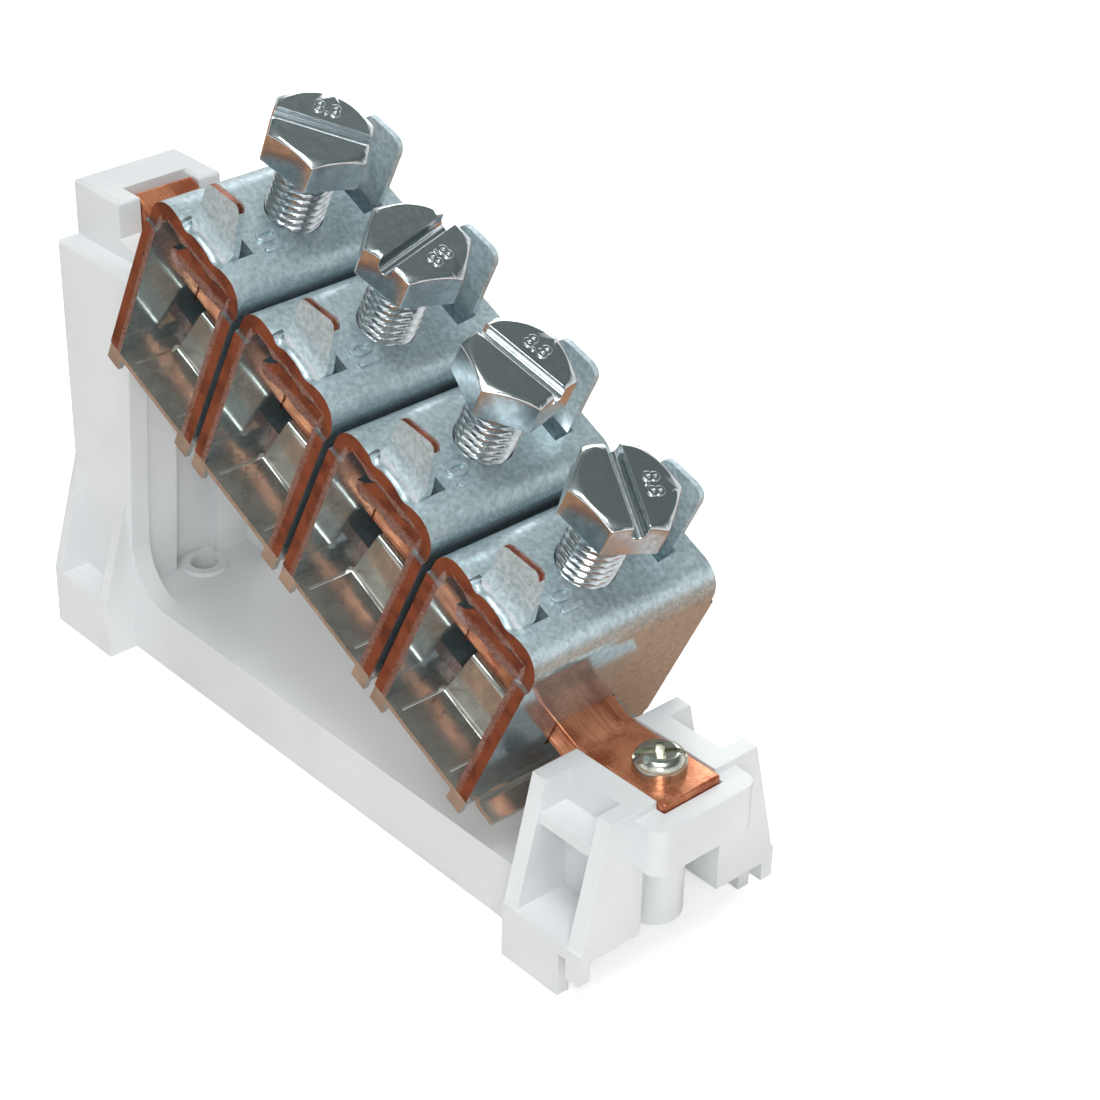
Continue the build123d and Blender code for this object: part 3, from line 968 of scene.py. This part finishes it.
    def dress(self, cage: bpy.types.Object, finishes: Finishes) -> None:
        """Press the front edge, note how deep in its sheet each point lies and give each face its finish.

        Args:
            cage: the cage, still in its own frame.
            finishes: the block's materials.
        """
        mesh = cage.data
        depths = mesh.attributes.new("sheet_depth", "FLOAT", "POINT")
        tumbled = mesh.attributes.new("tumbled", "FLOAT", "POINT")
        for vertex, depth, dull in zip(mesh.vertices, depths.data, tumbled.data):
            depth.value = self.sheet_depth(vertex.co)
            dull.value = max(0.0, min(1.0, (vertex.co.z - self.top + self.corner) / (0.8 * self.corner)))
            if vertex.co.z > self.flange:
                dull.value = TAB_DULLNESS
            if vertex.co.z < self.top + 0.2:
                vertex.co.z -= self.droop(vertex.co)
        for finish in (finishes.cage, finishes.cut_edge, finishes.bolt):
            mesh.materials.append(finish)
        plated, cut, burnished = range(3)
        for face in mesh.polygons:
            if self.is_rim(face.center, face.normal):
                face.material_index = burnished
            else:
                face.material_index = cut if self.is_cut(face.center, face.normal) else plated

    def build(self, place: Matrix, finishes: Finishes) -> bpy.types.Object:
        """Build the cage at its place.

        Args:
            place: from the clamp's own frame to the row's, in millimetres.
            finishes: the block's materials.

        Returns:
            The cage.
        """
        cage = self.ring()
        self.pierce(cage)
        under, over = self.lap_top - 2.0, self.top + 3
        slots = [prism("front_slot", [(-5.3, -15.3), (5.4, -15.6), (5.4, -11.8), (-5.3, -11.8)], under, over),
                 prism("rear_slot", [(-5.4, 10.8), (5.1, 10.8), (4.7, 15.0), (-5.4, 15.0)], under, over)]
        lining = self.lining()
        with editing(lining):
            bpy.ops.mesh.select_all(action="SELECT")
            bpy.ops.mesh.bisect(plane_co=(0, self.apron, 0), plane_no=(0, 1, 0))
        carve(cage, lining, "UNION")
        for slot in slots:
            carve(cage, slot)
        carve(cage, self.front_tab(), "UNION")
        carve(cage, self.rear_tab(), "UNION")
        carve(cage, disc("tapping_drill", self.hole_radius, 10, over, 64))
        soften(cage, self.edge_round)
        cage = join([cage, self.numerals()], f"cage_{self.number}_strip")
        self.dress(cage, finishes)
        put_down(cage, place)
        log.info("cage %d: %d faces", self.number, len(cage.data.polygons))
        return cage


@dataclass
class BoltPiece:
    """M10 hexagon clamp bolt: rolled thread, turned head chamfer, milled slot across the head."""

    number: int
    slot_angle: float
    across_flats: float = 16.0
    underside: float = 35.7
    head_height: float = 6.4
    radius: float = 4.93
    length: float = 25.0
    pitch: float = 1.5
    thread_height: float = 0.92
    flank_end: float = 0.4375  # where a flank meets the crest, in pitches from the root's middle
    flank_share: float = 0.3125  # of the pitch
    run_out: float = 0.8
    plain_neck: float = 0.6
    rings_per_turn: int = 8
    sides: int = 48
    tip_chamfer: float = 0.8
    turned_radius: float = 7.4  # flat circle that the chamfer leaves on the head
    chamfer_slope: float = 3.6 / 1.9
    slot_half: float = 1.25
    slot_depth: float = 2.6
    edge_round: float = 0.22
    mark_size: float = 3.7
    mark_height: float = 0.25
    mark_offset: float = 4.0
    spigot_radius: float = 2.0
    spigot_length: float = 1.9

    @property
    def tip(self) -> float:
        """Height of the shank's lower end."""
        return self.underside - self.length

    def thread_radius(self, angle: float, z: float) -> float:
        """Give the thread's radius at an angle and a height.

        Args:
            angle: in radians about the bolt's axis.
            z: height.

        Returns:
            The radius, with the run-out below the head and the chamfer at the tip.
        """
        phase = ((z - self.tip) / self.pitch - angle / math.tau) % 1
        from_root = abs(phase - 0.5)
        flank = min(1.0, max(0.0, (self.flank_end - from_root) / self.flank_share))
        fade = min(1.0, max(0.0, (self.underside - self.plain_neck - z) / self.run_out))
        turned = self.radius - self.tip_chamfer + z - self.tip
        return min(self.radius - self.thread_height * flank * fade, turned)

    def shank(self) -> bpy.types.Object:
        """Extrude the shank ring by ring and press the helix into it.

        Returns:
            The shank.
        """
        bpy.ops.object.select_all(action="DESELECT")
        bpy.ops.mesh.primitive_circle_add(
            vertices=self.sides, radius=self.radius, fill_type="NGON", location=(0, 0, self.tip)
        )
        shank = settle("shank")
        step = self.pitch / self.rings_per_turn
        with editing(shank):
            bpy.ops.mesh.select_all(action="SELECT")
            for _ in range(round(self.length / step) + 3):
                bpy.ops.mesh.extrude_region_move(TRANSFORM_OT_translate={"value": (0, 0, step)})
            face_outwards()
        for vertex in shank.data.vertices:
            angle = math.atan2(vertex.co.y, vertex.co.x)
            radius = self.thread_radius(angle, vertex.co.z)
            vertex.co.x, vertex.co.y = radius * math.cos(angle), radius * math.sin(angle)
        activate(shank)
        bpy.ops.object.shade_smooth_by_angle(angle=THREAD_ANGLE)
        return shank

    def head(self) -> bpy.types.Object:
        """Shape the chamfered and slotted hexagon head.

        Returns:
            The head with its marks.
        """
        top = self.underside + self.head_height
        corner = self.across_flats / math.sqrt(3)
        head = disc("bolt_head", corner, self.underside, top, 6)
        drop = self.head_height + 1
        wide = self.turned_radius + drop * self.chamfer_slope
        carve(head, disc("turning_tool", wide, top - drop, top, 128, self.turned_radius), "INTERSECT")
        half = self.slot_half
        floor = [
            (half * math.cos(a), top - self.slot_depth + half + half * math.sin(a))
            for a in (math.radians(180 + 18 * n) for n in range(11))
        ]
        outline = [(-half, top + 2), *floor, (half, top + 2)]
        carve(head, prism("slot_cutter", outline, -12, 12, Run.ALONG))
        soften(head, self.edge_round)
        marks = emboss("8.8", self.mark_size, self.mark_height)
        marks.data.transform(Matrix.Translation((0, self.mark_offset, top)))
        return join([head, marks], "bolt_head")

    def build(self, place: Matrix, finishes: Finishes) -> bpy.types.Object:
        """Build the bolt at its place.

        Args:
            place: from the clamp's own frame to the row's, in millimetres.
            finishes: the block's materials.

        Returns:
            The bolt.
        """
        spigot = disc("spigot", self.spigot_radius, self.tip - self.spigot_length, self.tip + 0.3, 32)
        bolt = join([self.head(), self.shank(), spigot], f"clamp_bolt_{self.number}_threaded")
        bolt.data.materials.clear()
        bolt.data.materials.append(finishes.bolt)
        put_down(bolt, place @ Matrix.Rotation(math.radians(self.slot_angle), 4, "Z"))
        log.info("bolt %d: %d faces", self.number, len(bolt.data.polygons))
        return bolt


@dataclass
class BusbarScrewPiece:
    """Pan-head screw with a slot and a cross recess, driven through the bar's flat end."""

    radius: float = 4.3
    height: float = 3.4
    dome: float = 1.9
    shank_radius: float = 2.45
    driven_angle: float = -40.0  # as the slot stands in the photo
    slot: tuple[float, float, float] = (12.0, 1.2, 1.5)  # length, width and depth of the cutter
    cross: tuple[float, float, float] = (4.4, 1.3, 2.0)
    edge_round: float = 0.12

    def build(self, finishes: Finishes) -> bpy.types.Object:
        """Build the screw where the frame's own screw stands.

        Args:
            finishes: the block's materials.

        Returns:
            The screw.
        """
        low, high = (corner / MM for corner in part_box("busbar_screw"))
        top = high.z
        head = disc("busbar_screw_driven", self.radius, top - self.height, top)
        with editing(head):
            pick_edges(head, lambda a, b: a.z > top - 0.01 and b.z > top - 0.01)
            bpy.ops.mesh.bevel(offset=self.dome, segments=7, affect="EDGES")
        for (long, wide, deep), across in ((self.slot, 0), (self.cross, 90)):
            recess = box("recess", (-wide / 2, -long / 2, top - deep), (wide / 2, long / 2, top + 1))
            recess.data.transform(Matrix.Rotation(math.radians(across), 4, "Z"))
            recess.data.transform(Matrix.Rotation(math.radians(self.driven_angle), 4, "Z"))
            carve(head, recess)
        soften(head, self.edge_round)
        shank = disc("screw_shank", self.shank_radius, low.z, top - self.height + 0.2, 40)
        screw = join([head, shank], "busbar_screw_driven")
        screw.data.materials.clear()
        screw.data.materials.append(finishes.screw)
        put_down(screw, Matrix.Translation(((low.x + high.x) / 2, 0, 0)))
        log.info("busbar_screw_driven: %d faces", len(screw.data.polygons))
        return screw


@dataclass(frozen=True)
class MouldedCopy:
    """A CAD piece taken over as it is, with its edges softened as its making leaves them."""

    node: str
    name: str
    edge: float
    slot: Slot
    segments: int = 2

    def build(self, nodes: dict[str, bpy.types.Object], finish: bpy.types.Material) -> bpy.types.Object:
        """Copy the node, merge its points and soften its edges.

        Args:
            nodes: the frame's nodes.
            finish: the piece's material.

        Returns:
            The dressed copy.
        """
        source = nodes[self.node]
        copy = bpy.data.objects.new(self.name, source.data.copy())
        bpy.context.scene.collection.objects.link(copy)
        copy.data.transform(Matrix.Scale(1 / MM, 4))
        with editing(copy):
            bpy.ops.mesh.select_all(action="SELECT")
            bpy.ops.mesh.remove_doubles(threshold=MERGE_MM)
            bpy.ops.mesh.customdata_custom_splitnormals_clear()
        soften(copy, self.edge, self.segments)
        copy.data.materials.clear()
        copy.data.materials.append(finish)
        put_down(copy, Matrix.Identity(4))
        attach(copy, BLOCK)
        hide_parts(self.node)
        log.info("%s: %d faces", self.name, len(copy.data.polygons))
        return copy


# The studio


@dataclass(frozen=True)
class SoftLamp:
    """One square soft lamp, aimed at a point above the floor's middle."""

    name: str
    place: tuple[float, float, float]
    size: float
    watts: float
    aim_height: float = 0.05

    def hang(self) -> None:
        """Hang the lamp."""
        data = bpy.data.lights.new(self.name, "AREA")
        data.shape = "SQUARE"
        data.size = self.size
        data.energy = self.watts
        lamp = bpy.data.objects.new(self.name, data)
        lamp.location = self.place
        beam = Vector((0, 0, self.aim_height)) - Vector(self.place)
        lamp.rotation_euler = beam.to_track_quat("-Z", "Y").to_euler()
        bpy.context.scene.collection.objects.link(lamp)


LAMPS = (
    SoftLamp("key_soft_box", (0.5, -0.9, 0.9), size=0.8, watts=1.8, aim_height=0.04),
    SoftLamp("front_soft_box", (1.1, -0.1, 0.6), size=0.7, watts=0.4, aim_height=0.04),
    SoftLamp("camera_soft_box", (0.62, -0.5, 0.54), size=0.22, watts=2.6),
    SoftLamp("top_soft_box", (0.25, -0.2, 1.3), size=0.6, watts=9.0),
    SoftLamp("rear_soft_box", (-0.5, 0.75, 0.6), size=0.5, watts=3.0),
)


@dataclass(frozen=True)
class PhotoCamera:
    """The photo's camera, as fitted to the block's feet, posts, bar and bolts."""

    place: tuple[float, float, float] = (0.2842, -0.2320, 0.2682)
    azimuth: float = 50.03
    elevation: float = 30.95
    roll: float = -0.109
    focal_pixels: float = 2608.5
    centre_x: float = 423.4
    centre_y: float = 515.7

    def build(self) -> None:
        """Set the camera where the photo was taken from."""
        azimuth, elevation, roll = (math.radians(v) for v in (self.azimuth, self.elevation, self.roll))
        forward = Vector((
            -math.sin(azimuth) * math.cos(elevation),
            math.cos(azimuth) * math.cos(elevation),
            -math.sin(elevation),
        ))
        data = bpy.data.cameras.new("photo_camera")
        data.sensor_width = 36.0
        data.lens = self.focal_pixels / PHOTO_PIXELS * data.sensor_width
        data.shift_x = 0.5 - self.centre_x / PHOTO_PIXELS
        data.shift_y = self.centre_y / PHOTO_PIXELS - 0.5
        data.clip_start = 0.01
        camera = bpy.data.objects.new("photo_camera", data)
        turn = forward.to_track_quat("-Z", "Y").to_matrix().to_4x4() @ Matrix.Rotation(roll, 4, "Z")
        camera.matrix_world = Matrix.Translation(self.place) @ turn
        bpy.context.scene.collection.objects.link(camera)
        bpy.context.scene.camera = camera


@dataclass(frozen=True)
class Studio:
    """White product studio: endless floor, bright horizon, dark ceiling and soft lamps."""

    floor_colour: str = "FFFFFF"
    floor_glow: float = 0.35  # added for the camera, so that the floor looks pure white
    mirrored_colour: str = "C09070"  # the bare metal mirrors a warm table top
    room_light: float = 0.72
    seen_light: float = 1.15  # the room's strength for the camera and in mirrors

    def floor(self) -> bpy.types.Object:
        """Lay the floor, which looks white and still takes the block's shadow.

        Returns:
            The floor.
        """
        bpy.ops.mesh.primitive_plane_add(size=8, location=(0, 0, 0))
        floor = bpy.context.active_object
        floor.name = "studio_floor"
        material, tree, shader = start_material("studio_paper_white")
        shader.inputs["Roughness"].default_value = 0.9
        shader.inputs["Specular IOR Level"].default_value = 0.0
        rays = add_node(tree, "ShaderNodeLightPath")
        tone = add_node(tree, "ShaderNodeMix", {"data_type": "RGBA"},
                        values={6: linear(self.floor_colour), 7: linear(self.mirrored_colour)},
                        links={0: rays.outputs["Is Glossy Ray"]})
        glow = add_node(tree, "ShaderNodeMath", {"operation": "MULTIPLY"}, values={1: self.floor_glow},
                        links={0: rays.outputs["Is Camera Ray"]})
        shader.inputs["Emission Color"].default_value = (1, 1, 1, 1)
        wire(tree, shader, {"Base Color": tone.outputs[2], "Emission Strength": glow.outputs["Value"]})
        floor.data.materials.append(material)
        return floor

    def world(self) -> None:
        """Build the room: bright at the horizon, darker overhead, white to the camera."""
        world = bpy.data.worlds.new("studio_room")
        world.use_nodes = True
        tree = world.node_tree
        tree.nodes.clear()
        place = add_node(tree, "ShaderNodeTexCoord")
        parts = add_node(tree, "ShaderNodeSeparateXYZ", links={"Vector": place.outputs["Generated"]})
        ramp = add_node(tree, "ShaderNodeValToRGB", links={"Fac": parts.outputs["Z"]})
        set_ramp(ramp, [(0.0, "FFFFFF"), (0.42, "F4F5F6"), (0.68, "4A5452"), (0.95, "7C8583")])
        rays = add_node(tree, "ShaderNodeLightPath")
        seen = add_node(tree, "ShaderNodeMix", {"data_type": "RGBA"}, values={7: (1, 1, 1, 1)},
                        links={0: rays.outputs["Is Camera Ray"], 6: ramp.outputs["Color"]})
        seen_or_mirrored = add_node(tree, "ShaderNodeMath", {"operation": "MAXIMUM"},
                                    links={0: rays.outputs["Is Camera Ray"], 1: rays.outputs["Is Glossy Ray"]})
        strength = add_node(tree, "ShaderNodeMapRange", values={"To Min": self.room_light, "To Max": self.seen_light},
                            links={"Value": seen_or_mirrored.outputs["Value"]})
        light = add_node(tree, "ShaderNodeBackground",
                         links={"Color": seen.outputs[2], "Strength": strength.outputs["Result"]})
        add_node(tree, "ShaderNodeOutputWorld", links={"Surface": light.outputs["Background"]})
        bpy.context.scene.world = world

    def build(self) -> None:
        """Set up the floor, the room, the lamps and the camera."""
        self.floor()
        self.world()
        for lamp in LAMPS:
            lamp.hang()
        PhotoCamera().build()
        bpy.context.scene.view_settings.view_transform = "Standard"


def dress_clamp(number: int, frame: dict, bar: BarFrame, finishes: Finishes) -> None:
    """Dress one clamp: its cage, its bolt, its guard plate and its pressure pad.

    Args:
        number: the clamp's number, from one at the tall post.
        bar: the bar's directions.
        finishes: the block's materials.
    """
    joint = next(j for j in frame["joints"] if j["name"] == f"bolt_turn_{number}")
    place = bar.place(Vector(joint["pos_m"]))
    cage = CagePiece(number).build(place, finishes)
    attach(cage, BLOCK)
    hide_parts(f"cage_{number}")
    bolt = BoltPiece(number, SLOT_ANGLES[number - 1]).build(place, finishes)
    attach(bolt, f"bolt_{number}")
    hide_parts(f"clamp_bolt_{number}")
    guard = MouldedCopy(f"guard_plate_{number}", f"guard_plate_{number}_pressed", 0.12, Slot.GUARD)
    guard.build(frame["nodes"], finishes.guard)
    pad = frame["nodes"][f"pressure_pad_{number}"]
    pad.data.materials.clear()
    pad.data.materials.append(finishes.bolt)


def main() -> None:
    """Dress the block and set up the studio."""
    logging.basicConfig(level=logging.INFO, format="%(name)s: %(message)s")
    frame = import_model()
    bar = BarFrame.read(frame)
    finishes = Finishes.build(bar.along)
    MouldedCopy("carrier", "carrier_moulded", 0.3, Slot.CARRIER).build(frame["nodes"], finishes.plastic)
    MouldedCopy("busbar", "busbar_drawn", 0.5, Slot.COPPER, 3).build(frame["nodes"], finishes.copper)
    screw = BusbarScrewPiece().build(finishes)
    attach(screw, BLOCK)
    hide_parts("busbar_screw")
    for number in range(1, len(SLOT_ANGLES) + 1):
        dress_clamp(number, frame, bar, finishes)
    Studio().build()


if __name__ == "__main__":
    main()
